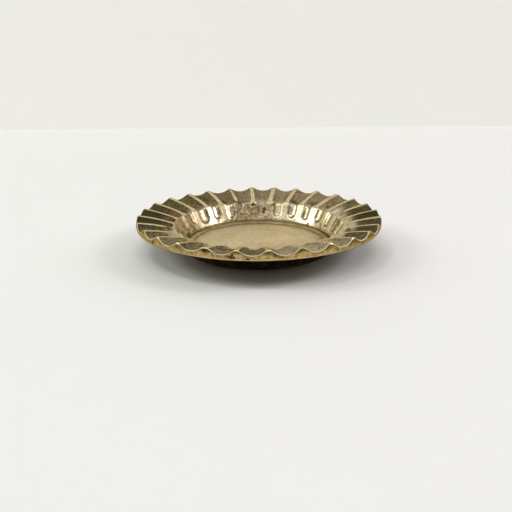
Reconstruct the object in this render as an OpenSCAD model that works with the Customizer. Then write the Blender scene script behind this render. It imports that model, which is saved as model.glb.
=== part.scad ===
// Paten plate: a round brass plate with a fluted rim, a steep-walled well and a low foot.
// The fluted rim is one casting with a turned back. A sheet disc drops into it as the floor,
// a half-round bead covers the joint, and a flat ring under the casting is the foot.
// Origin: centre of the foot's resting face, +Z up. Millimetres.

/* [Rim] */
// Overall diameter of the plate
rim_d = 110; // [100:1:130]
// Height from the resting face to the crests of the rim
plate_h = 16.2; // [15.5:0.1:18]
// Height of the outer edge, from a crest to its lower corner
edge_h = 4.4; // [4:0.1:5]
// How far the outer edge bulges between its two corners
edge_bulge = 0.5; // [0.3:0.1:0.7]
// Radius of the gentle crown that the rim rises along
crown_r = 75; // [60:1:120]
// Rounding of the shoulder, where the rim turns down into the well
shoulder_round = 1.5; // [1:0.1:2]

/* [Flutes] */
// Number of flutes round the rim
flutes = 28; // [26:1:29]
// Depth of a flute below the crests at the outer edge
flute_depth = 2.3; // [1.8:0.1:2.5]
// Depth of a flute where the rim turns down into the well
flute_depth_in = 0.9; // [0.7:0.1:1.1]
// Radius of the scoop at the outer edge
scoop_r = 6.6; // [6:0.1:6.8]
// Radius of the scoop at the shoulder
scoop_r_in = 4.8; // [4.4:0.1:5]
// Radius of the groove that carries each flute down the wall
groove_r = 3.4; // [3:0.1:3.6]
// Depth of that groove
groove_depth = 0.8; // [0.5:0.1:0.9]
// How far above the wall's foot the groove's round end is centred, along the wall
groove_end = 3.9; // [3.5:0.1:5]

/* [Well] */
// Diameter at the shoulder, where the rim turns down into the well
shoulder_d = 76; // [74:1:78]
// Height of the shoulder above the resting face
shoulder_z = 12; // [11.5:0.1:12.5]
// Diameter of the well at the foot of its wall
well_d = 66.6; // [65:0.1:68]
// Height of the floor above the resting face
floor_z = 2.7; // [2.6:0.1:3]
// Thickness of the floor disc
disc_t = 1; // [0.8:0.1:1.2]
// Gap all round between the disc and the casting, filled with solder
solder_gap = 0.1; // [0.05:0.05:0.2]
// Width of the half-round bead
bead_w = 3.6; // [3:0.1:4]
// Height of the bead above the floor
bead_h = 0.8; // [0.6:0.1:0.9]
// Height above the floor where the sloping wall starts
wall_start = 1; // [1:0.1:1.2]

/* [Back and foot] */
// Thickness of the well's wall
wall_t = 2.1; // [1.9:0.1:2.4]
// How far the underside of the rim falls from its edge to the wall
rim_drop = 1.9; // [1.5:0.1:2]
// Rounding of the back where it turns from rim to wall and from wall to foot
back_round = 2; // [1:0.1:2.5]
// Height of the bevel under the wall
foot_bevel = 0.6; // [0.5:0.1:0.8]
// Thickness of the ledge that the floor disc sits on
ledge_t = 0.8; // [0.6:0.1:0.9]
// Inner diameter of the ledge
ledge_d = 53; // [50:1:54]
// Outer diameter of the foot
foot_d = 59; // [58:1:60]
// Width of the foot's resting face
foot_w = 2.4; // [2:0.1:3]
// Rounding of the foot's lower corners
foot_round = 0.3; // [0.2:0.1:0.4]

/* [Hidden] */
$fn = 180;

rim_r = rim_d / 2;
crest_r = rim_r - edge_bulge;
shoulder_r = shoulder_d / 2;
well_r = well_d / 2;
ledge_r = ledge_d / 2;
foot_r = foot_d / 2;
disc_r = well_r - solder_gap;
ledge_top = floor_z - disc_t;
ledge_z = ledge_top - ledge_t;
edge_z = plate_h - edge_h;
wall_foot_z = floor_z + wall_start;

wall_angle = atan2(shoulder_z - wall_foot_z, shoulder_r - well_r);
wall_len = norm([shoulder_r - well_r, shoulder_z - wall_foot_z]);
pitch = 360 / flutes;
overrun = 2; // how far a cut runs past the metal

cast_brass = [0.70, 0.62, 0.44];
bright_brass = [0.80, 0.72, 0.52];
foot_brass = [0.62, 0.50, 0.28];

function unit(v) = v / norm(v);

// Radius of an arc from its chord and how far it bulges from it.
function bulge_r(chord, bulge) = (chord * chord / 4 + bulge * bulge) / (2 * bulge);

// Points of the arc of radius r from a to b, which bulges to the left of the way from a to b.
function arc(a, b, r, steps = 6) =
    let (
        along = unit(b - a),
        centre = (a + b) / 2 + sqrt(r * r - pow(norm(b - a) / 2, 2)) * [along[1], -along[0]],
        from = atan2(a[1] - centre[1], a[0] - centre[0]),
        turn = atan2(b[1] - centre[1], b[0] - centre[0]) - from
    )
    [for (i = [0:steps]) let (t = from + turn * i / steps) centre + r * [cos(t), sin(t)]];

// Points that round the corner at p, between its neighbours a and b, with radius r.
function rounded(a, p, b, r, steps = 4) =
    let (
        u = unit(a - p),
        v = unit(b - p),
        half = acos(u * v) / 2,
        start = p + u * r / tan(half),
        end = p + v * r / tan(half),
        centre = p + unit(u + v) * r / sin(half)
    )
    [for (i = [0:steps]) centre + r * unit((start - centre) * (steps - i) + (end - centre) * i)];

// The point of the wall's back at height z, as [radius, height].
function back_at(z) = [well_r + wall_t / sin(wall_angle) + (z - wall_foot_z) / tan(wall_angle), z];

// Half section of the casting before it is fluted.
module rim_section() {
    wall_foot = [well_r, wall_foot_z];
    shoulder = [shoulder_r, shoulder_z];
    crest = [crest_r, plate_h];
    lower_edge = [crest_r, edge_z];
    back_shoulder = back_at(edge_z - rim_drop);
    back_foot = back_at(ledge_z + foot_bevel);
    bottom = [back_foot[0] - 2 * foot_bevel, ledge_z];
    crown = arc(shoulder, crest, crown_r);
    polygon(concat(
        [[ledge_r, ledge_top], [well_r, ledge_top], wall_foot],
        rounded(wall_foot, shoulder, crown[1], shoulder_round),
        [for (i = [1:len(crown) - 1]) crown[i]],
        arc(crest, lower_edge, bulge_r(edge_h, edge_bulge)),
        rounded(lower_edge, back_shoulder, back_foot, back_round),
        rounded(back_shoulder, back_foot, bottom, back_round),
        [bottom, [ledge_r, ledge_z]]
    ));
}

// The cut for one flute along the rim: a tapered scoop, wider at the edge.
module scoop() {
    inner = [shoulder_r, shoulder_z - flute_depth_in + scoop_r_in];
    outer = [rim_r, plate_h - flute_depth + scoop_r];
    length = norm(outer - inner);
    taper = (scoop_r - scoop_r_in) / length;
    translate([inner[0], 0, inner[1]])
        rotate([0, 90 - atan2(outer[1] - inner[1], outer[0] - inner[0]), 0])
            translate([0, 0, -overrun])
                cylinder(h = length + 2 * overrun,
                         r1 = scoop_r_in - taper * overrun,
                         r2 = scoop_r + taper * overrun);
}

// The cut that carries a flute down the wall: a groove with a round end above the wall's foot.
module groove() {
    start = [well_r, wall_foot_z]
        + groove_end * [cos(wall_angle), sin(wall_angle)]
        + (groove_r - groove_depth) * [-sin(wall_angle), cos(wall_angle)];
    translate([start[0], 0, start[1]]) {
        rotate([0, 90 - wall_angle, 0])
            cylinder(h = wall_len - groove_end + overrun / 2, r = groove_r);
        sphere(r = groove_r);
    }
}

// Copies of one cut, evenly spaced round the plate.
module round_the_rim() {
    for (i = [0:flutes - 1])
        rotate([0, 0, i * pitch]) children();
}

module fluted_rim() {
    color(cast_brass)
        difference() {
            difference() {
                rotate_extrude() rim_section();
                round_the_rim() scoop();
            }
            round_the_rim() groove();
        }
}

module well_disc() {
    color(bright_brass)
        translate([0, 0, ledge_top])
            cylinder(h = disc_t, r = disc_r);
}

module bead_ring() {
    round_r = bulge_r(bead_w, bead_h);
    color(cast_brass)
        rotate_extrude()
            intersection() {
                translate([disc_r - bead_w / 2, floor_z + bead_h - round_r])
                    circle(r = round_r, $fn = 96);
                translate([disc_r - bead_w, floor_z])
                    square([bead_w, bead_h]);
            }
}

module foot_ring() {
    inner_r = foot_r - foot_w - 2 * foot_round;
    color(foot_brass)
        rotate_extrude()
            polygon([
                [inner_r, ledge_z],
                [inner_r, foot_round],
                [inner_r + foot_round, 0],
                [foot_r - foot_round, 0],
                [foot_r, foot_round],
                [foot_r, ledge_z]
            ]);
}

fluted_rim();
well_disc();
bead_ring();
foot_ring();
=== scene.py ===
"""Looks of a small cast brass paten with a fluted rim, a let-in floor, a bead and a foot ring."""

from math import acos, atan2, cos, pi, radians, sin, tan

import bpy
import numpy as np
from mathutils import Matrix, Vector


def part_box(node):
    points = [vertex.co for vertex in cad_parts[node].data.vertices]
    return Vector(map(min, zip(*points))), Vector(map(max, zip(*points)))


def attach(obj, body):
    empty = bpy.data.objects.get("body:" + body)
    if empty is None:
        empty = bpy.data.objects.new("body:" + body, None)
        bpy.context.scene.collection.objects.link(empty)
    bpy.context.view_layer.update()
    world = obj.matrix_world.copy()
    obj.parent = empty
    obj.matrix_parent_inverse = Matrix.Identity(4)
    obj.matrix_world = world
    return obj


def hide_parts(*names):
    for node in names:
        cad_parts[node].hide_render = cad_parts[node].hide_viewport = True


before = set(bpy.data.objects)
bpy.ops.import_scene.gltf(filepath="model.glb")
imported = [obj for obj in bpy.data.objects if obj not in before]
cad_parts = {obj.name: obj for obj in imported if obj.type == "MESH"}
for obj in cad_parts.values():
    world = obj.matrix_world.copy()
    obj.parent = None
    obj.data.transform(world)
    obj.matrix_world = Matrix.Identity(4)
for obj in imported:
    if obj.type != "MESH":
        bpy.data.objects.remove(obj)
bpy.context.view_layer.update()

MM = 0.001


# ---------------------------------------------------------------- sizes, in mm

def node_size(name):
    """Outer radius, lowest z and highest z of a CAD node."""
    low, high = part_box(name)
    return high.x / MM, low.z / MM, high.z / MM


rim_r, casting_low, crest_z = node_size("fluted_rim")
disc_r, disc_low, floor_z = node_size("well_disc")
bead_r, _, bead_top = node_size("bead_ring")
foot_r, foot_low, foot_top = node_size("foot_ring")

FLUTES = 28
FLUTE_PITCH = 2 * pi / FLUTES
EDGE_H, EDGE_BULGE = 4.4, 0.5
CROWN_R = 75.0
SHOULDER_R, SHOULDER_Z, SHOULDER_ROUND = 38.0, 12.0, 1.7
WALL_T, WALL_START, SOLDER_GAP = 2.1, 1.0, 0.1
RIM_DROP, BACK_ROUND = 1.9, 2.0
LEDGE_R, FOOT_BEVEL = 26.5, 0.6
BEAD_W, FOOT_W, FOOT_ROUND = 3.6, 2.4, 0.3
well_r = disc_r + SOLDER_GAP
wall_foot = np.array([well_r, floor_z + WALL_START])
shoulder = np.array([SHOULDER_R, SHOULDER_Z])
crest = np.array([rim_r - EDGE_BULGE, crest_z])


# ---------------------------------------------------------------- geometry helpers

def unit(v):
    return v / np.linalg.norm(v)


def unit_rows(v):
    return v / np.linalg.norm(v, axis=1)[:, None]


def arc_points(a, b, r, count):
    """count points of the arc of radius r from a to b that bulges to the left of the way."""
    along = unit(b - a)
    half = np.linalg.norm(b - a) / 2
    centre = (a + b) / 2 + np.sqrt(r * r - half * half) * np.array([along[1], -along[0]])
    start = atan2(a[1] - centre[1], a[0] - centre[0])
    turn = atan2(b[1] - centre[1], b[0] - centre[0]) - start
    t = start + turn * np.linspace(0, 1, count)
    return centre + r * np.column_stack([np.cos(t), np.sin(t)])


def rounded(a, p, b, r, count):
    """count points that round the corner at p, between its neighbours a and b, with radius r."""
    u, v = unit(a - p), unit(b - p)
    half = acos(float(u @ v)) / 2
    start, end = p + u * r / tan(half), p + v * r / tan(half)
    centre = p + unit(u + v) * r / sin(half)
    mix = np.linspace(0, 1, count)[:, None]
    ways = (start - centre) * (1 - mix) + (end - centre) * mix
    return centre + r * ways / np.linalg.norm(ways, axis=1)[:, None]


def between(a, b, count):
    """count points inside the straight way from a to b, without its ends."""
    return a + (b - a) * (np.arange(1, count + 1) / (count + 1))[:, None]


def smooth_above(x, width):
    """max(x, 0) with its corner rounded over a width."""
    h = np.maximum(width - np.abs(x), 0) / width
    return np.maximum(x, 0) + h * h * width / 4


def fade(x, low, high):
    """0 below low, 1 above high and a smooth step between them."""
    t = np.clip((x - low) / (high - low), 0, 1)
    return t * t * (3 - 2 * t)


def ring_angles(count):
    """count angles evenly round the plate."""
    return np.arange(count) * 2 * pi / count


def lumps(angle, seed, waves):
    """Smooth unevenness round the plate, about -1 to 1, the same on each run."""
    draw = np.random.RandomState(seed)
    total = sum(draw.normal() * np.cos(n * angle + draw.uniform(0, 2 * pi)) for n in waves)
    return total / np.sqrt(len(waves))


def ripple(x, y, seed, length, count=18):
    """Smooth unevenness over a face, about -1 to 1, with lumps of about this length in mm."""
    draw = np.random.RandomState(seed)
    total = 0
    for _ in range(count):
        way = draw.uniform(0, 2 * pi)
        rate = 2 * pi / (length * draw.uniform(0.7, 1.6))
        total = total + np.cos(rate * (x * np.cos(way) + y * np.sin(way)) + draw.uniform(0, 2 * pi))
    return total / np.sqrt(count / 2) / 1.6


def ring_mesh(name, radius, height, angle):
    """A closed ring of rows round its section and columns round the plate, in mm."""
    rows, columns = radius.shape
    co = np.stack([radius * np.cos(angle), radius * np.sin(angle), height], axis=-1) * MM
    i, j = np.meshgrid(np.arange(rows), np.arange(columns), indexing="ij")
    here, along = i * columns + j, i * columns + (j + 1) % columns
    next_row = (i + 1) % rows * columns
    quads = np.stack([here, along, next_row + (j + 1) % columns, next_row + j], -1)
    return mesh_object(name, co.reshape(-1, 3), quads.reshape(-1, 4).tolist())


def disc_mesh(name, radius, height, angle):
    """A closed disc: rows run from the middle of the top, over the edge, to the middle of the back."""
    rows, columns = radius.shape
    co = np.stack([radius * np.cos(angle), radius * np.sin(angle), height], axis=-1).reshape(-1, 3) * MM
    i, j = np.meshgrid(np.arange(rows - 1), np.arange(columns), indexing="ij")
    here, along = i * columns + j, i * columns + (j + 1) % columns
    quads = np.stack([here, here + columns, along + columns, along], -1)
    top, back = rows * columns, rows * columns + 1
    centres = np.array([[0, 0, height[0].mean()], [0, 0, height[-1].mean()]]) * MM
    last = (rows - 1) * columns
    fan = [[top, k, (k + 1) % columns] for k in range(columns)]
    fan += [[back, last + (k + 1) % columns, last + k] for k in range(columns)]
    return mesh_object(name, np.vstack([co, centres]), quads.reshape(-1, 4).tolist() + fan)


def mesh_object(name, co, faces):
    """A smooth-shaded object from vertices in metres."""
    mesh = bpy.data.meshes.new(name)
    mesh.from_pydata(co.tolist(), [], faces)
    mesh.update()
    mesh.polygons.foreach_set("use_smooth", [True] * len(mesh.polygons))
    piece = bpy.data.objects.new(name, mesh)
    bpy.context.scene.collection.objects.link(piece)
    return piece


def paint(piece, name, values):
    """Stores one number per vertex for the materials to read, and 0 for vertices past the end."""
    layer = piece.data.attributes.new(name, "FLOAT", "POINT")
    data = np.zeros(len(piece.data.vertices), dtype=np.float32)
    flat = np.asarray(values, dtype=np.float32).ravel()
    data[:len(flat)] = flat
    layer.data.foreach_set("value", data)


# ---------------------------------------------------------------- camera

# The camera, the table and the lamps are turned round the plate, which stays in the CAD frame.
TURN = Matrix.Rotation(radians(2.52), 4, "Z")
CREST_RING_R = 54.4
CAMERA_DISTANCE = 4.839 * CREST_RING_R
CAMERA_ELEVATION = radians(14.604)
PITCH_DOWN, YAW, ROLL = radians(18.90), radians(-0.306), radians(-0.536)
LENS_MM = 40.58


def add_camera():
    forward = Vector((sin(YAW) * cos(PITCH_DOWN), cos(YAW) * cos(PITCH_DOWN), -sin(PITCH_DOWN)))
    side = forward.cross(Vector((0, 0, 1))).normalized()
    up = side.cross(forward)
    right = side * cos(ROLL) + up * sin(ROLL)
    up = up * cos(ROLL) - side * sin(ROLL)
    pose = Matrix((right, up, -forward)).transposed().to_4x4()
    pose.translation = Vector((0, -CAMERA_DISTANCE * cos(CAMERA_ELEVATION),
                               crest_z + CAMERA_DISTANCE * sin(CAMERA_ELEVATION))) * MM
    data = bpy.data.cameras.new("camera")
    data.lens = LENS_MM
    data.sensor_width = 36
    data.clip_start = 0.01
    camera = bpy.data.objects.new("camera", data)
    bpy.context.scene.collection.objects.link(camera)
    camera.matrix_world = TURN @ pose
    bpy.context.scene.camera = camera


# ---------------------------------------------------------------- the fluted rim

STEPS_PER_FLUTE = 30
COLUMNS = FLUTES * STEPS_PER_FLUTE

# The scoop along the rim: its radius and depth at the shoulder, and what they gain towards the edge.
SCOOP_R, SCOOP_R_GAIN = 5.3, 3.0
SCOOP_DEPTH, SCOOP_DEPTH_GAIN = 1.15, 0.82

# The groove down the wall: its radius and depth, and how far up the wall its round end is centred.
GROOVE_R, GROOVE_DEPTH, GROOVE_END = 3.0, 0.72, 4.3

# Widths over which the cuts run out on the ridges, and a low burr that stands up beside each scoop.
SCOOP_SOFT, GROOVE_SOFT, BURR = 0.45, 0.65, 0.05

# How far inside the edge the top face stops, and the radius of the worn corner from it to the band.
FACE_STOP, CORNER_R = 2.2, 0.38

# The radius and height of the worn corner from the band to the back.
LIP_R, LIP_H = 0.35, 0.3

# How each flute and groove differs from the others.
draw = np.random.RandomState(11)
flute_turn = draw.normal(0, radians(0.3), FLUTES)
flute_deep = 1 + draw.normal(0, 0.05, FLUTES)
groove_deep = 1 + draw.normal(0, 0.24, FLUTES)
groove_low = draw.normal(0, 0.6, FLUTES)
groove_wide = np.clip(1.15 + draw.normal(0, 0.25, FLUTES), 0.8, 1.6)


def inner_face():
    """The unfluted face from the wall's foot to the edge: points, ways into the metal and run."""
    crown = arc_points(shoulder, crest, CROWN_R, 36)
    bend = rounded(wall_foot, shoulder, crown[6], SHOULDER_ROUND, 8)
    crown = crown[crown[:, 0] > bend[-1, 0] + 0.3]
    points = np.vstack([wall_foot[None], between(wall_foot, bend[0], 20), bend, crown])
    run = np.concatenate([[0], np.cumsum(np.linalg.norm(np.diff(points, axis=0), axis=1))])
    way = np.gradient(points, run, axis=0)
    into = np.column_stack([way[:, 1], -way[:, 0]])
    # The wall is cut square to its face, the rim straight down.
    straight_down = fade(points[:, 0], SHOULDER_R, SHOULDER_R + 4)[:, None]
    into = unit_rows(unit_rows(into) * (1 - straight_down) + np.array([0.0, -1.0]) * straight_down)
    return points, into, run


def back_at(z):
    """The point of the wall's back at height z."""
    angle = atan2(shoulder[1] - wall_foot[1], shoulder[0] - wall_foot[0])
    return np.array([well_r + WALL_T / sin(angle) + (z - wall_foot[1]) / tan(angle), z])


# Dirty spots: degrees round the plate, then the radius and height of the middle and the spot's reach, in mm.
STAINS = [
    (14, 46.0, 13.0, 1.6), (64, 40.5, 12.2, 1.8), (47, 40.5, 12.2, 1.6), (133, 40.5, 12.2, 1.6),
    (110, 40.0, 12.0, 1.6), (97, 37.0, 11.0, 2.6), (88, 36.0, 8.5, 2.2), (107, 38.5, 12.0, 2.2),
    (80, 37.5, 11.5, 1.6), (66, 41.0, 12.5, 2.6), (52, 42.0, 12.5, 3.2), (38, 42.0, 12.5, 2.4),
    (118, 41.0, 12.4, 2.2), (20, 41.5, 12.6, 2.6), (155, 41.0, 12.4, 2.4), (172, 34.0, 4.4, 1.8),
    (45, 33.8, 4.2, 1.6), (200, 41.5, 12.6, 2.8), (338, 42.0, 12.6, 2.6), (262, 54.8, 13.4, 2.2),
    (268, 54.8, 12.8, 1.6), (306, 54.8, 13.2, 1.0), (222, 54.8, 13.4, 1.2), (143, 36.5, 10.0, 1.5),
    (129, 34.2, 5.0, 1.4),
]

# Soft parts round the rim: the middle in degrees, how far they spread either way, and the amount.
PATCHES = {
    # The patina is thinner above 0 and thicker below 0. The darker flutes at the left and right and the
    # lighter ones at front and back are partly painted shade and painted light.
    "rubbed_and_lit": [(180, 16, -1.2), (196, 12, -0.4), (140, 12, -0.35), (6, 16, -1.1), (75, 18, 0.75),
               (50, 14, 0.55), (102, 14, 0.45), (288, 14, 1.1), (305, 12, 0.9), (258, 10, 0.15),
               (225, 12, 0.4), (336, 12, -0.4)],
    # The flutes are clean towards the well.
    "clean": [(0, 24, 1.0), (332, 16, 1.0), (28, 12, 0.4), (208, 14, 0.4)],
    # The wall is painted a darker, mottled brown with a rougher finish here: painted shade where it catches
    # little light.
    "painted_wall_shade": [(178, 18, 0.45), (161, 11, 0.85), (34, 7, 0.35), (99, 13, 1.2), (86, 6, 0.6), (4, 16, 0.2)],
    # The patina is red-brown.
    "rusty": [(47, 15, 1.0), (68, 7, 0.5), (118, 8, 0.5), (141, 6, 0.4), (24, 8, 0.4)],
}


def angle_from(theta, turn):
    """Angle from turn, in degrees round the plate, to theta: -pi to pi."""
    return (theta - radians(turn) + pi) % (2 * pi) - pi


def round_plate(patches, theta):
    """The sum of soft patches round the plate."""
    total = 0 * theta
    for turn, wide, amount in patches:
        total = total + amount * np.exp(-(angle_from(theta, turn) / radians(wide)) ** 2)
    return total


def stains(r, z, theta):
    """1 in the middle of a dirty spot and 0 from its edge on."""
    total = np.zeros_like(r)
    for turn, at_r, at_z, reach in STAINS:
        along = angle_from(theta, turn) * at_r
        away = np.sqrt(along ** 2 + (r - at_r) ** 2 + (z - at_z) ** 2)
        total = np.maximum(total, 1 - away / reach)
    return total


def cut_depth(s, out, across, on_rim, flute):
    """How far the scoops and grooves cut in: the bare cut, below 0 on the ridges, and the smoothed depth."""
    scoop_r = SCOOP_R + SCOOP_R_GAIN * out
    scoop = (SCOOP_DEPTH + SCOOP_DEPTH_GAIN * out) * flute_deep[flute] - scoop_r + np.sqrt(
        np.maximum(scoop_r ** 2 - across ** 2, 0.01))
    groove_r = GROOVE_R * groove_wide[flute]
    below = np.maximum(GROOVE_END + groove_low[flute] - s, 0)
    groove = GROOVE_DEPTH * groove_deep[flute] - groove_r + np.sqrt(
        np.maximum(groove_r ** 2 - across ** 2 - below ** 2, 0.01))
    cut = groove * (1 - on_rim) + scoop * on_rim
    depth = smooth_above(cut, SCOOP_SOFT) * on_rim + smooth_above(cut, GROOVE_SOFT) * (1 - on_rim)
    burr = BURR * fade(cut, -0.5, -0.05) * (1 - fade(cut, -0.05, 0.15)) * on_rim
    return cut, depth - burr


def edge_rows(last_r, last_z, top_z, cut):
    """Rows over the worn corner and down the bulging edge band: radius, height, cut and edge zone.

    The zone is 0 on the face, up to 1 over the corner and 1 to 2 down the band. The back has 3.
    """
    bulge_r = (EDGE_H ** 2 / 4 + EDGE_BULGE ** 2) / (2 * EDGE_BULGE)
    centre_r, mid_z = rim_r - bulge_r, crest_z - EDGE_H / 2
    band_r = centre_r + np.sqrt(bulge_r ** 2 - (top_z - mid_z) ** 2)
    slope = (top_z - last_z) / (band_r - last_r)
    top_tilt, band_tilt = np.arctan(slope), np.arcsin((top_z - mid_z) / bulge_r)
    reach = band_r - CORNER_R - last_r
    rows = [(last_r + reach * t, last_z + reach * t * slope, cut, 0 * cut) for t in (0.35, 0.7)]
    corner_r = band_r - CORNER_R * np.cos(band_tilt)
    corner_z = top_z - CORNER_R * np.cos(top_tilt)
    for t in np.linspace(0, 1, 6):
        tilt = pi / 2 + top_tilt - (pi / 2 + top_tilt - band_tilt) * t
        rows.append((corner_r + CORNER_R * np.cos(tilt), corner_z + CORNER_R * np.sin(tilt),
                     cut * (1 - t), 0 * cut + t))
    band_top = corner_z + CORNER_R * np.sin(band_tilt)
    for t in np.linspace(0, 1, 10)[1:]:
        z = band_top + (crest_z - EDGE_H + LIP_H - band_top) * t
        rows.append((centre_r + np.sqrt(bulge_r ** 2 - (z - mid_z) ** 2), z, 0 * cut, 0 * cut + 1 + t))
    return rows


def back_section():
    """The turned back and the ledge, from the band's lower edge round to the wall's foot."""
    lower_edge = np.array([crest[0], crest_z - EDGE_H])
    back_shoulder = back_at(lower_edge[1] - RIM_DROP)
    back_foot = back_at(casting_low + FOOT_BEVEL)
    bottom = np.array([back_foot[0] - 2 * FOOT_BEVEL, casting_low])
    lip = rounded(lower_edge + [0.12, 1.0], lower_edge, back_shoulder, LIP_R, 5)
    under = rounded(lower_edge, back_shoulder, back_foot, BACK_ROUND, 7)
    heel = rounded(back_shoulder, back_foot, bottom, BACK_ROUND, 5)
    bore = np.array([well_r, disc_low])
    return np.vstack([
        lip, between(lip[-1], under[0], 8), under, between(under[-1], heel[0], 4), heel,
        bottom[None], [[LEDGE_R, casting_low], [LEDGE_R, disc_low]], bore[None],
        between(bore, wall_foot, 1),
    ])


def build_fluted_rim():
    points, into, run = inner_face()
    theta = ring_angles(COLUMNS)
    flute = np.round(theta / FLUTE_PITCH).astype(int) % FLUTES
    from_middle = (theta + FLUTE_PITCH / 2) % FLUTE_PITCH - FLUTE_PITCH / 2 - flute_turn[flute]
    r, s = points[:, :1], run[:, None]
    bend_run = run[np.argmin(np.abs(points[:, 0] - SHOULDER_R))]
    on_rim = fade(s, bend_run - 1.6, bend_run + 1.8)
    out = np.clip((r - SHOULDER_R) / (rim_r - SHOULDER_R), 0, 1)
    cut, depth = cut_depth(s, out, r * np.sin(from_middle), on_rim, flute)

    # Hand-made unevenness: wavy crests, and a cast skin on the wall and in the flutes.
    x, y = r * np.cos(theta), r * np.sin(theta)
    wave = 0.12 * lumps(theta, 5, (2, 3, 5, 7)) * out ** 2 + 0.10 * lumps(theta, 6, (14, 19, 23, 31)) * out
    skin = 0.03 * ripple(x + 9 * s, y, 21, 4.2) * (1 - on_rim) + 0.03 * ripple(x, y, 22, 3.5) * on_rim
    skin = skin * fade(s, 0.1, 1.5)
    radius = r + into[:, :1] * (depth + skin)
    height = points[:, 1:] + into[:, 1:] * (depth + skin) + wave

    # The top face ends short of the edge, and the worn corner and the band go on from there.
    flat = np.ones(COLUMNS)
    face = points[:, 0] < rim_r - FACE_STOP
    count = int(face.sum())
    rows = [(radius[k], height[k], cut[k], 0 * flat) for k in range(count)]
    rows += edge_rows(radius[face][-1], height[face][-1], height[-1], cut[-1])
    rows += [(at_r * flat, at_z * flat, 0 * flat, 3 * flat) for at_r, at_z in back_section()]
    all_r, all_z, all_cut, zone = (np.array(column) for column in zip(*rows))
    piece = ring_mesh("fluted_rim_casting", all_r, all_z, theta[None] + 0 * all_r)

    rim_share = np.where(zone <= 1, 1.0, 0.0)
    rim_share[:count] = (on_rim + 0 * theta)[face]
    wall_foot_near = np.zeros_like(all_r)
    wall_foot_near[:count] = (fade(-s, -1.8, -0.2) + 0 * theta)[face]
    paint(piece, "hollow", np.clip(all_cut, -2, 3))
    paint(piece, "outward", np.clip((all_r - SHOULDER_R) / (rim_r - SHOULDER_R), 0, 1))
    paint(piece, "wall_foot", wall_foot_near)
    paint(piece, "stained", stains(all_r, all_z, theta))
    for name, patches in PATCHES.items():
        paint(piece, name, round_plate(patches, theta) + 0 * all_r)
    paint(piece, "rim_share", rim_share)
    paint(piece, "edge_zone", zone)
    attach(piece, "root")
    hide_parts("fluted_rim")
    return piece


# ---------------------------------------------------------------- floor disc, bead and foot

def build_floor():
    theta = ring_angles(240)
    top_rings = 44
    rings = np.concatenate([
        np.linspace(1.0, disc_r - 0.25, top_rings),
        [disc_r - 0.1, disc_r, disc_r, disc_r - 0.1],
        [disc_r - 6, disc_r * 0.5, 2.0],
    ])
    levels = np.concatenate([
        np.full(top_rings, floor_z),
        [floor_z - 0.03, floor_z - 0.15, disc_low + 0.15, disc_low],
        np.full(3, disc_low),
    ])
    r, z = rings[:, None] + 0 * theta, levels[:, None] + 0 * theta
    x, y = r * np.cos(theta), r * np.sin(theta)
    top = (z > floor_z - 0.01) * fade(disc_r - r, 0.5, 3.0)
    z = z + top * (0.035 * ripple(x, y, 31, 14) + 0.012 * ripple(x, y, 32, 5) - 0.05)
    piece = disc_mesh("well_floor", r, z, theta[None] + 0 * r)
    # Painted shade on the floor along the bead, weaker on the left side.
    bright_side = 1 - round_plate([(200, 45, 0.75)], theta)
    paint(piece, "floor_edge_shade", fade(r, bead_r - BEAD_W - 3.5, bead_r - BEAD_W + 0.3) * bright_side)
    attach(piece, "root")
    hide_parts("well_disc")
    return piece


def build_bead():
    theta = ring_angles(420)
    outer, inner = np.array([bead_r, floor_z]), np.array([bead_r - BEAD_W, floor_z])
    high = bead_top - floor_z
    bow = (BEAD_W ** 2 / 4 + high ** 2) / (2 * high)
    section = np.vstack([arc_points(inner, outer, bow, 15), between(outer, inner, 5)])
    level = section[:, 1:]
    r = section[:, :1] + 0.10 * lumps(theta, 41, (3, 5, 8, 13)) * fade(level, floor_z, floor_z + 0.2)
    z = level + 0.04 * lumps(theta, 42, (4, 7, 11, 17, 29)) * fade(level, floor_z, bead_top)
    piece = ring_mesh("bead_round_floor", r, z, theta[None] + 0 * r)
    paint(piece, "hollow", 1 - fade(level, floor_z, bead_top - 0.1) + 0 * theta)
    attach(piece, "root")
    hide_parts("bead_ring")
    return piece


def build_foot():
    theta = ring_angles(360)
    inner = foot_r - FOOT_W - 2 * FOOT_ROUND
    inner_top, inner_low = np.array([inner, foot_top]), np.array([inner, foot_low])
    outer_low, outer_top = np.array([foot_r, foot_low]), np.array([foot_r, foot_top])
    section = np.vstack([
        inner_top, between(inner_top, inner_low, 1),
        rounded(inner_top, inner_low, outer_low, FOOT_ROUND, 5), between(inner_low, outer_low, 3),
        rounded(inner_low, outer_low, outer_top, FOOT_ROUND, 5), between(outer_low, outer_top, 1),
        outer_top, between(outer_top, inner_top, 2),
    ])
    r, z = section[:, :1] + 0 * theta, section[:, 1:] + 0 * theta
    piece = ring_mesh("turned_foot_ring", r, z, theta[None] + 0 * r)
    paint(piece, "rest_wear", 1 - fade(z, foot_low, foot_low + 0.25))
    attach(piece, "root")
    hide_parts("foot_ring")
    return piece


# ---------------------------------------------------------------- material helpers

# The colour of reflections at a glancing angle.
BRASS_TINT = (0.78, 0.70, 0.53, 1)
RIM_TINT = (0.67, 0.59, 0.37, 1)
FLOOR_TINT = (0.80, 0.69, 0.46, 1)


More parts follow.
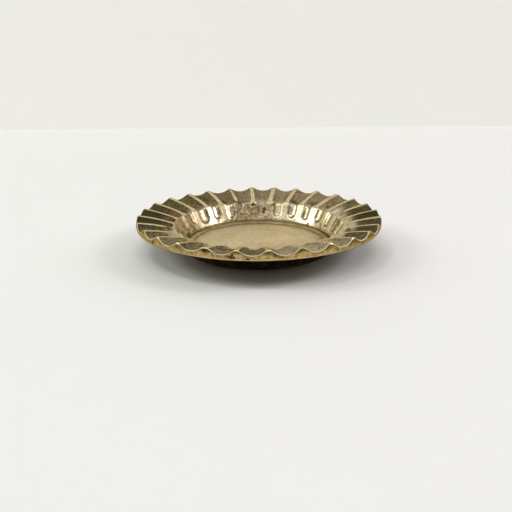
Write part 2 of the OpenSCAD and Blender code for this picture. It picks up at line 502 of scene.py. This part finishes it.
class Nodes:
    """Builds one node material, with short calls for the nodes that these materials use."""

    def __init__(self, name):
        self.material = bpy.data.materials.new(name)
        self.material.use_nodes = True
        self.tree = self.material.node_tree
        self.shader = self.tree.nodes["Principled BSDF"]
        self.place = self.add("ShaderNodeTexCoord").outputs["Object"]

    def add(self, kind, **settings):
        node = self.tree.nodes.new(kind)
        for key, value in settings.items():
            setattr(node, key, value)
        return node

    def put(self, socket, value):
        """Links another node's socket, or sets a constant."""
        if isinstance(value, bpy.types.NodeSocket):
            self.tree.links.new(value, socket)
        else:
            socket.default_value = value

    def number(self, name):
        """What paint() stored under this name."""
        return self.add("ShaderNodeAttribute", attribute_name=name).outputs["Fac"]

    def noise(self, scale, detail=4, rough=0.55, place=None):
        """Noise with scale lumps to the metre, or to the unit of the place given."""
        node = self.add("ShaderNodeTexNoise")
        self.put(node.inputs["Vector"], self.place if place is None else place)
        self.put(node.inputs["Scale"], scale)
        self.put(node.inputs["Detail"], detail)
        self.put(node.inputs["Roughness"], rough)
        return node.outputs["Fac"]

    def turned(self, spacing, drift=12):
        """Noise in rings round the plate's axis, spacing mm apart, that drifts slowly along each ring."""
        flat = self.add("ShaderNodeVectorMath", operation="MULTIPLY")
        self.put(flat.inputs[0], self.place)
        self.put(flat.inputs[1], (1, 1, 0))
        span = self.add("ShaderNodeVectorMath", operation="LENGTH")
        self.put(span.inputs[0], flat.outputs["Vector"])
        split = self.add("ShaderNodeSeparateXYZ")
        self.put(split.inputs[0], self.place)
        join = self.add("ShaderNodeCombineXYZ")
        self.put(join.inputs[0], self.times(span.outputs["Value"], 1 / (spacing * MM)))
        self.put(join.inputs[1], self.times(split.outputs["X"], drift))
        self.put(join.inputs[2], self.times(split.outputs["Y"], drift))
        return self.noise(1.0, 2, 0.5, join.outputs["Vector"])

    def cells(self, scale):
        node = self.add("ShaderNodeTexVoronoi")
        self.put(node.inputs["Vector"], self.place)
        self.put(node.inputs["Scale"], scale)
        return node.outputs["Distance"]

    def step(self, value, low, high, to_low=0.0, to_high=1.0):
        """A smooth step from to_low at low to to_high at high."""
        node = self.add("ShaderNodeMapRange", interpolation_type="SMOOTHSTEP")
        for key, number in (("Value", value), ("From Min", low), ("From Max", high),
                            ("To Min", to_low), ("To Max", to_high)):
            self.put(node.inputs[key], number)
        return node.outputs["Result"]

    def math(self, operation, a, b=0.0):
        node = self.add("ShaderNodeMath", operation=operation)
        self.put(node.inputs[0], a)
        self.put(node.inputs[1], b)
        return node.outputs["Value"]

    def times(self, a, b):
        return self.math("MULTIPLY", a, b)

    def plus(self, a, b):
        return self.math("ADD", a, b)

    def mix(self, amount, a, b):
        """A colour from a to b."""
        node = self.add("ShaderNodeMix", data_type="RGBA")
        self.put(node.inputs["Factor"], amount)
        for socket, value in ((node.inputs[6], a), (node.inputs[7], b)):
            self.put(socket, (*value, 1) if isinstance(value, tuple) else value)
        return node.outputs[2]

    def finish(self, color, roughness, heights, metallic=1.0, tint=BRASS_TINT):
        """Wires the shader. heights: (height socket, depth in mm) from coarse to fine."""
        self.put(self.shader.inputs["Base Color"], color)
        self.put(self.shader.inputs["Roughness"], roughness)
        self.put(self.shader.inputs["Metallic"], metallic)
        self.put(self.shader.inputs["Specular IOR Level"], 0.0)
        self.put(self.shader.inputs["Specular Tint"], tint)
        normal = None
        for height, depth in heights:
            bump = self.add("ShaderNodeBump")
            self.put(bump.inputs["Height"], height)
            self.put(bump.inputs["Distance"], depth * MM)
            self.put(bump.inputs["Strength"], 1.0)
            if normal:
                self.put(bump.inputs["Normal"], normal)
            normal = bump.outputs["Normal"]
        if normal:
            self.put(self.shader.inputs["Normal"], normal)
        return self.material


# ---------------------------------------------------------------- materials

BRIGHT = (0.76, 0.67, 0.48)
GOLD = (0.58, 0.45, 0.22)
BROWN = (0.150, 0.112, 0.052)
OLIVE = (0.043, 0.041, 0.013)
UMBER = (0.070, 0.045, 0.019)
DIRT = (0.016, 0.011, 0.005)
DULL = (0.37, 0.305, 0.195)
GOLD_BROWN = (0.22, 0.16, 0.07)
RUST = (0.24, 0.14, 0.068)
RED_BROWN = (0.33, 0.225, 0.125)
BAND_GOLD = (0.58, 0.41, 0.150)
GREY_BROWN = (0.215, 0.172, 0.100)


def rim_patina(n):
    """The flutes' dark speckled patina, and how much of it there is: less towards the well."""
    cloud, blotch, fine, speck = n.cloud, n.blotch, n.fine, n.speck
    out, patina_and_shading = n.number("outward"), n.number("rubbed_and_lit")
    tarnish = n.mix(n.step(fine, 0.40, 0.64), OLIVE, BROWN)
    tarnish = n.mix(n.step(blotch, 0.55, 0.70, 0.0, 0.7), tarnish, UMBER)
    tarnish = n.mix(n.step(speck, 0.56, 0.68, 0.0, 0.25), tarnish, GOLD)
    # Thin patina, partly painted light: the flutes lighter at front and back.
    rubbed_and_lit = n.mix(n.step(fine, 0.34, 0.60), GREY_BROWN, DULL)
    rubbed_and_lit = n.mix(n.step(speck, 0.44, 0.34, 0.0, 0.8), rubbed_and_lit, OLIVE)
    tarnish = n.mix(n.step(patina_and_shading, 0.0, 1.0), tarnish, rubbed_and_lit)
    # Thick patina, partly painted shade: the flutes darker at the left and right.
    thick_and_shaded = n.step(patina_and_shading, 0.0, -1.0)
    tarnish = n.mix(n.times(thick_and_shaded, 0.9), tarnish, n.mix(fine, DIRT, OLIVE))
    rusty = n.times(n.number("rusty"), n.step(cloud, 0.40, 0.58, 0.35, 0.90))
    tarnish = n.mix(rusty, tarnish, n.mix(n.step(fine, 0.36, 0.58), BROWN, RED_BROWN))
    inner_end = n.times(n.step(out, 0.60, 0.15), n.step(blotch, 0.44, 0.54))
    tarnish = n.mix(n.times(inner_end, 0.8), tarnish, n.mix(n.step(fine, 0.40, 0.56), UMBER, RUST))

    reach = n.plus(n.step(out, -0.05, 0.40, 0.50, 1.0), n.step(cloud, 0.3, 0.7, -0.25, 0.25))
    reach = n.plus(reach, n.plus(n.step(speck, 0.3, 0.7, 0.2, -0.2), n.times(thick_and_shaded, 0.5)))
    reach = n.math("SUBTRACT", reach, n.times(n.number("clean"), n.step(out, 0.55, 0.20)))
    amount = n.times(n.step(n.hollow, -0.03, 0.12), n.step(reach, 0.0, 1.0, 0.12, 0.97))
    return tarnish, n.times(amount, n.step(n.rim_share, 0.3, 1.0))


def rim_wall_stains_and_shade(n, color, wall, wall_shade):
    """Brown stains at the wall's foot and in a few patches, browner along the inner edges of its grooves,
    and painted shade where the wall catches little light.
    """
    cloud, blotch, fine = n.cloud, n.blotch, n.fine
    # Browner just inside the edges of the wall's grooves.
    groove = n.times(n.step(n.hollow, -0.10, 0.12), n.step(n.hollow, 0.60, 0.28))
    groove_edge_brown = n.times(n.times(groove, wall), n.step(blotch, 0.30, 0.60, 0.35, 0.95))
    color = n.mix(groove_edge_brown, color, BROWN)
    # Painted shade: the wall darker and mottled brown where it catches little light.
    brown = n.times(wall_shade, n.step(fine, 0.32, 0.62, 0.35, 1.0))
    color = n.mix(n.times(brown, 0.8), color, n.mix(n.step(blotch, 0.45, 0.55), RUST, GOLD_BROWN))
    patch = n.times(n.times(wall, n.step(cloud, 0.52, 0.62)), n.step(fine, 0.42, 0.60, 0.1, 0.8))
    color = n.mix(patch, color, BROWN)
    foot = n.times(n.number("wall_foot"), n.step(fine, 0.40, 0.65, 0.15, 0.75))
    return n.mix(foot, color, BROWN)


def rim_edge_band(n, color, zone, dirty):
    """The golden brown edge band, darkest under the crests with painted shade, between bright corners at its
    top and bottom that are painted highlights.
    """
    blotch = n.blotch
    band = n.mix(n.step(n.fine, 0.38, 0.68, 0.0, 0.5), BAND_GOLD, BROWN)
    # Painted shade: the top of the band under the crests mottled dark umber.
    band = n.mix(n.times(n.step(blotch, 0.42, 0.66), n.step(zone, 1.75, 1.25, 0.0, 0.9)), band, UMBER)
    band = n.mix(dirty, band, DIRT)
    color = n.mix(n.step(zone, 0.75, 1.05), color, band)
    # Painted highlight: a bright line over the corner from the top face down to the band.
    wear_and_highlight = n.times(n.step(zone, 0.10, 0.45), n.step(zone, 1.08, 0.92))
    wear_and_highlight = n.times(wear_and_highlight, n.step(blotch, 0.3, 0.6, 0.35, 1.0))
    color = n.mix(wear_and_highlight, color, BRIGHT)
    # Painted highlight: a bright line along the band's rounded lower lip.
    lip = n.times(n.step(zone, 1.80, 1.92), n.step(zone, 2.3, 2.05))
    return n.mix(n.times(lip, 0.8), color, BRIGHT)


def rim_material():
    n = Nodes("aged_cast_brass")
    n.cloud, n.blotch, n.fine = n.noise(70, 3), n.noise(230, 4, 0.6), n.noise(620, 4, 0.65)
    n.grain, n.speck = n.noise(1500, 3), n.noise(1100, 2, 0.5)
    n.hollow, n.rim_share = n.number("hollow"), n.number("rim_share")
    zone = n.number("edge_zone")

    # Polished metal on the ridges and the wall; each ridge is a darker gold along its middle, which leaves
    # painted highlights along its edges.
    metal = n.mix(n.step(n.blotch, 0.35, 0.70, 0.0, 0.7), BRIGHT, GOLD)
    ridge_middle_dark = n.times(n.step(n.hollow, -0.20, -0.60, 0.0, 0.65), n.rim_share)
    metal = n.mix(ridge_middle_dark, metal, GOLD)
    tarnish, amount = rim_patina(n)
    color = n.mix(amount, metal, tarnish)
    wall = n.step(n.rim_share, 0.55, 0.15)
    wall_shade = n.times(wall, n.number("painted_wall_shade"))
    color = rim_wall_stains_and_shade(n, color, wall, wall_shade)
    dirty = n.plus(n.number("stained"), n.step(n.fine, 0.3, 0.7, -0.45, 0.45))
    dirty = n.step(dirty, 0.25, 0.60, 0.0, 0.85)
    color = n.mix(dirty, color, UMBER)
    color = rim_edge_band(n, color, zone, dirty)

    # The turned back, and casting pits with dirt in them everywhere.
    marks, on_back = n.turned(0.5), n.step(zone, 2.15, 2.35)
    back = n.mix(n.step(marks, 0.3, 0.7), BROWN, GOLD_BROWN)
    color = n.mix(on_back, color, n.mix(n.step(n.blotch, 0.35, 0.65), back, UMBER))
    pits = n.times(n.step(n.cells(850), 0.12, 0.26, 1.0, 0.0), n.step(n.cloud, 0.48, 0.60))
    color = n.mix(n.times(pits, 0.85), color, DIRT)
    rough = n.plus(n.step(amount, 0.0, 1.0, 0.30, 0.50), n.step(n.blotch, 0.3, 0.8, -0.04, 0.08))
    rough = n.plus(rough, n.times(wall_shade, 0.12))
    metallic = n.step(amount, 0.0, 1.0, 1.0, 0.40)
    heights = [(n.cloud, 0.05), (n.blotch, 0.035), (n.fine, 0.025), (n.grain, 0.010)]
    heights.append((n.times(marks, on_back), 0.03))
    return n.finish(color, rough, heights, metallic, RIM_TINT)


def floor_material():
    n = Nodes("satin_floor_brass")
    near = n.number("floor_edge_shade")
    cloud, fine, grain = n.noise(60, 4), n.noise(420, 4, 0.65), n.noise(1800, 3)
    marks, bands = n.turned(0.45), n.turned(2.2, 25)
    color = n.mix(n.step(cloud, 0.3, 0.7, 0.25, 0.70), BRIGHT, GOLD)
    color = n.mix(n.step(fine, 0.35, 0.75, 0.0, 0.24), color, BROWN)
    color = n.mix(n.step(bands, 0.50, 0.72, 0.0, 0.16), color, BROWN)
    # Painted shade: the floor browner near the bead.
    color = n.mix(n.times(near, n.step(fine, 0.3, 0.7, 0.30, 0.60)), color, BROWN)
    rough = n.step(cloud, 0.3, 0.7, 0.46, 0.56)
    metallic = n.step(fine, 0.3, 0.7, 0.72, 0.84)
    heights = [(cloud, 0.05), (bands, 0.02), (marks, 0.012), (fine, 0.02), (grain, 0.006)]
    return n.finish(color, rough, heights, metallic, FLOOR_TINT)


def bead_material():
    n = Nodes("worn_bead_brass")
    side = n.number("hollow")
    cloud, fine = n.noise(200, 4), n.noise(700, 4)
    color = n.mix(n.step(cloud, 0.3, 0.7, 0.1, 0.6), GOLD, BROWN)
    # Browner down both low sides of the bead: dirt in the joint by the wall, painted shade in the crease by
    # the floor.
    color = n.mix(n.times(side, n.step(fine, 0.25, 0.6, 0.25, 0.8)), color, BROWN)
    rough = n.step(cloud, 0.3, 0.7, 0.42, 0.54)
    return n.finish(color, rough, [(cloud, 0.05), (fine, 0.02)])


def foot_material():
    n = Nodes("tarnished_foot_brass")
    wear_and_highlight = n.number("rest_wear")
    cloud, fine = n.noise(220, 4), n.noise(900, 4)
    color = n.mix(n.step(fine, 0.30, 0.6), BROWN, UMBER)
    color = n.mix(n.times(wear_and_highlight, n.step(cloud, 0.35, 0.6, 0.2, 0.9)), color, GOLD)
    return n.finish(color, n.step(cloud, 0.3, 0.7, 0.35, 0.5), [(n.turned(0.4), 0.03), (fine, 0.02)])


# ---------------------------------------------------------------- stage and light, in metres

WALL_DISTANCE, WALL_HEIGHT, TABLE_HALF = 0.484, 0.35, 2.0
# The back wall gives off a little light of its own: painted light that brightens it.
WALL_PAINTED_GLOW = 0.185


def matte(name, color, painted_glow=0.0):
    """A plain matt paint, faintly clouded, that may give off a little painted light of its own."""
    n = Nodes(name)
    shade = n.mix(n.noise(30, 5), color, tuple(c * 0.985 for c in color))
    n.put(n.shader.inputs["Base Color"], shade)
    n.put(n.shader.inputs["Roughness"], 0.85)
    n.put(n.shader.inputs["Specular IOR Level"], 0.2)
    n.put(n.shader.inputs["Emission Color"], (*color, 1))
    n.put(n.shader.inputs["Emission Strength"], painted_glow)
    return n.material


def add_sheet(name, corners, color, painted_glow=0.0):
    """One flat sheet of the stage."""
    mesh = bpy.data.meshes.new(name)
    mesh.from_pydata(corners, [], [(0, 1, 2, 3)])
    sheet = bpy.data.objects.new(name, mesh)
    bpy.context.scene.collection.objects.link(sheet)
    sheet.matrix_world = TURN
    mesh.materials.append(matte(name + "_paint", color, painted_glow))


def add_stage():
    h, w, up = TABLE_HALF, WALL_DISTANCE, WALL_HEIGHT
    add_sheet("table_top", [(-h, -h, 0), (h, -h, 0), (h, w, 0), (-h, w, 0)], (0.84, 0.835, 0.82))
    add_sheet("back_wall", [(-h, w, 0), (h, w, 0), (h, w, up), (-h, w, up)], (0.86, 0.85, 0.83), WALL_PAINTED_GLOW)


LAMP_DISTANCE = 2.5


def add_lamp(name, turn, height, wide, share, color):
    """A soft round panel that faces the plate.

    turn, height and wide are degrees: from +X, above the table, and the panel's width as the plate sees it.
    share is the strength, as the brightness it gives a white card that faces it.
    """
    turn, height = radians(turn), radians(height)
    way = TURN @ Vector((cos(turn) * cos(height), sin(turn) * cos(height), sin(height)))
    data = bpy.data.lights.new(name, "AREA")
    data.shape = "DISK"
    data.size = 2 * LAMP_DISTANCE * tan(radians(wide / 2))
    data.energy = share * (pi * LAMP_DISTANCE) ** 2
    data.color = color
    lamp = bpy.data.objects.new(name, data)
    bpy.context.scene.collection.objects.link(lamp)
    side = Vector((0, 0, 1)).cross(way).normalized()
    pose = Matrix((side, way.cross(side), way)).transposed().to_4x4()
    pose.translation = way * LAMP_DISTANCE
    lamp.matrix_world = pose


# Strength of the room's light: at table height, overhead, and what the side behind the plate gains.
ROOM_LOW, ROOM_TOP, ROOM_BACK = 0.11, 0.33, 0.18
ROOM_SEEN = 0.82


def add_room():
    """A pale room, a little brighter behind the plate. The camera itself sees a plain pale background."""
    world = bpy.data.worlds.new("room")
    bpy.context.scene.world = world
    world.use_nodes = True
    n = world.node_tree.nodes
    link = world.node_tree.links.new
    split = n.new("ShaderNodeSeparateXYZ")
    link(n.new("ShaderNodeTexCoord").outputs["Generated"], split.inputs[0])

    def ramp(axis, low, high, to_low, to_high):
        node = n.new("ShaderNodeMapRange")
        node.interpolation_type = "SMOOTHSTEP"
        link(split.outputs[axis], node.inputs["Value"])
        for key, value in (("From Min", low), ("From Max", high), ("To Min", to_low), ("To Max", to_high)):
            node.inputs[key].default_value = value
        return node.outputs["Result"]

    def math(operation, a, b):
        node = n.new("ShaderNodeMath")
        node.operation = operation
        link(a, node.inputs[0])
        link(b, node.inputs[1])
        return node.outputs["Value"]

    behind = math("MULTIPLY", ramp("Y", -0.15, 0.65, 0.0, ROOM_BACK), ramp("Z", 0.45, 0.95, 1.0, 0.3))
    total = math("ADD", behind, ramp("Z", 0.0, 0.9, ROOM_LOW, ROOM_TOP))
    background = n["Background"]
    background.inputs["Color"].default_value = (1.0, 0.985, 0.96, 1)
    seen = n.new("ShaderNodeMix")
    link(n.new("ShaderNodeLightPath").outputs["Is Camera Ray"], seen.inputs["Factor"])
    link(total, seen.inputs["A"])
    seen.inputs["B"].default_value = ROOM_SEEN
    link(seen.outputs["Result"], background.inputs["Strength"])


def add_light():
    add_room()
    add_lamp("lamp_right", 355, 40, 18, 0.20, (1.0, 0.98, 1.0))
    add_lamp("lamp_right_low", 6, 27, 24, 0.13, (1.0, 0.93, 0.97))
    add_lamp("lamp_left", 185, 38, 18, 0.18, (0.93, 1.0, 0.94))
    add_lamp("lamp_left_low", 174, 27, 24, 0.12, (0.93, 1.0, 0.92))
    add_lamp("lamp_left_front", 226, 42, 20, 0.03, (0.95, 1.0, 0.95))
    add_lamp("lamp_left_high", 205, 65, 12, 0.13, (0.96, 0.98, 1.0))
    add_lamp("lamp_front_high", 278, 64, 32, 0.20, (1.0, 0.97, 0.92))
    add_lamp("lamp_front", 270, 38, 30, 0.01, (1.0, 0.85, 0.60))
    add_lamp("panel_behind", 90, 48, 40, 0.09, (1.0, 0.99, 0.96))
    bpy.context.scene.view_settings.view_transform = "Standard"


# ---------------------------------------------------------------- the scene

add_camera()
for build, material in (
    (build_fluted_rim, rim_material),
    (build_floor, floor_material),
    (build_bead, bead_material),
    (build_foot, foot_material),
):
    build().data.materials.append(material())
add_stage()
add_light()
